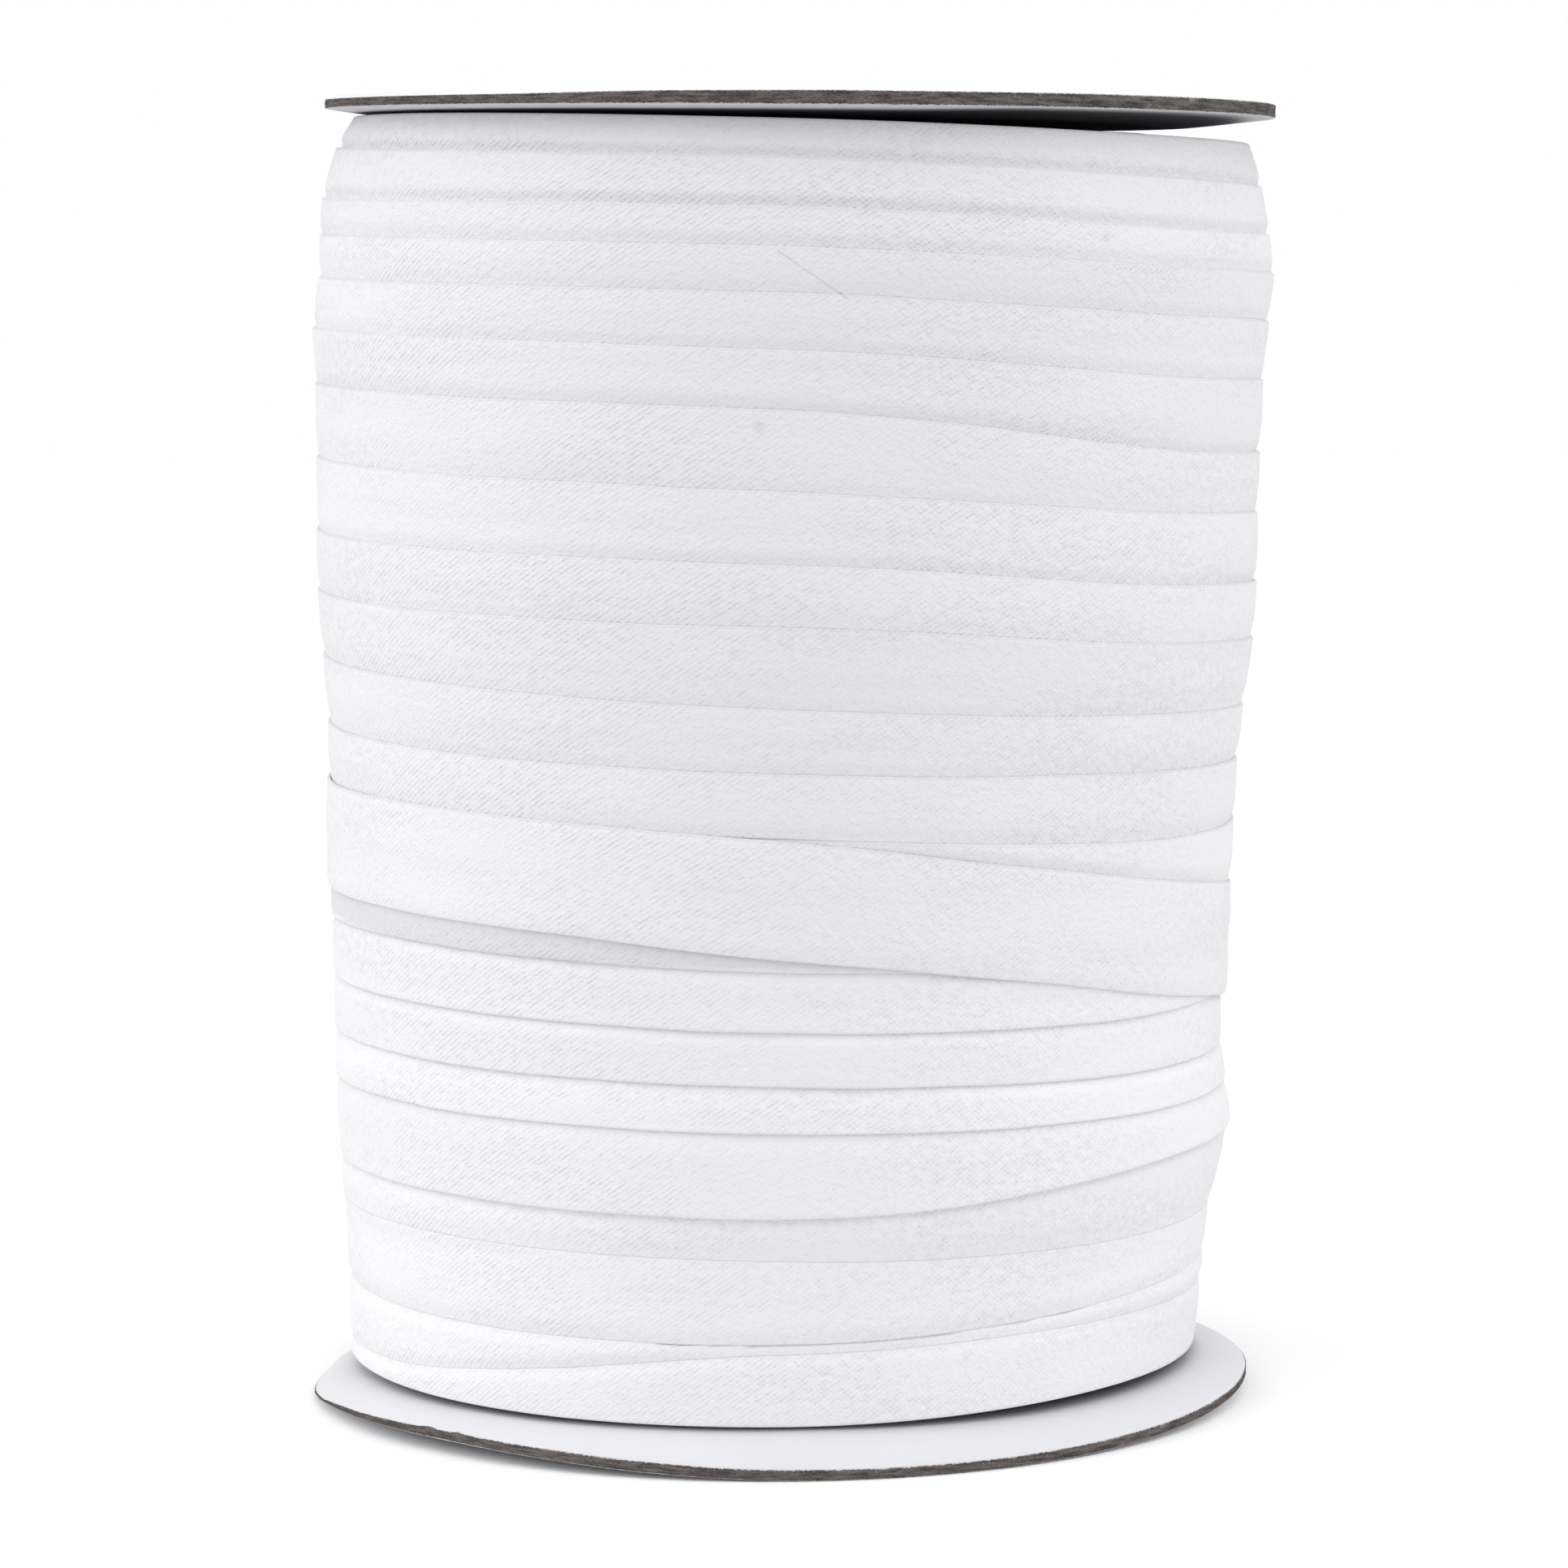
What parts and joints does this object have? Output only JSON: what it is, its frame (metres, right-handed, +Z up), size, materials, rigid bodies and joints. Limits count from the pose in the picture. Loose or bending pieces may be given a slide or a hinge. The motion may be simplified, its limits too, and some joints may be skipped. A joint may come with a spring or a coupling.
{
  "type": "roll of bias tape on a flanged spool",
  "caption": "Standing roll of white bias tape wound back and forth on a spool between two round greyboard flanges.",
  "frame": {"origin": "centre of the object's box at the level of the surface it stands on, close to the middle of the bottom flange", "axes": "+Z up along the spool, -Y towards the front, +X to the right as seen from the front"},
  "size_m": [0.1157, 0.1132, 0.1561],
  "materials": {
    "board": "matte",
    "tape": "matte"
  },
  "bodies": {
    "root": {"flange_bottom": "board", "flange_top": "board", "wound_tape": "tape"}
  },
  "joints": []
}
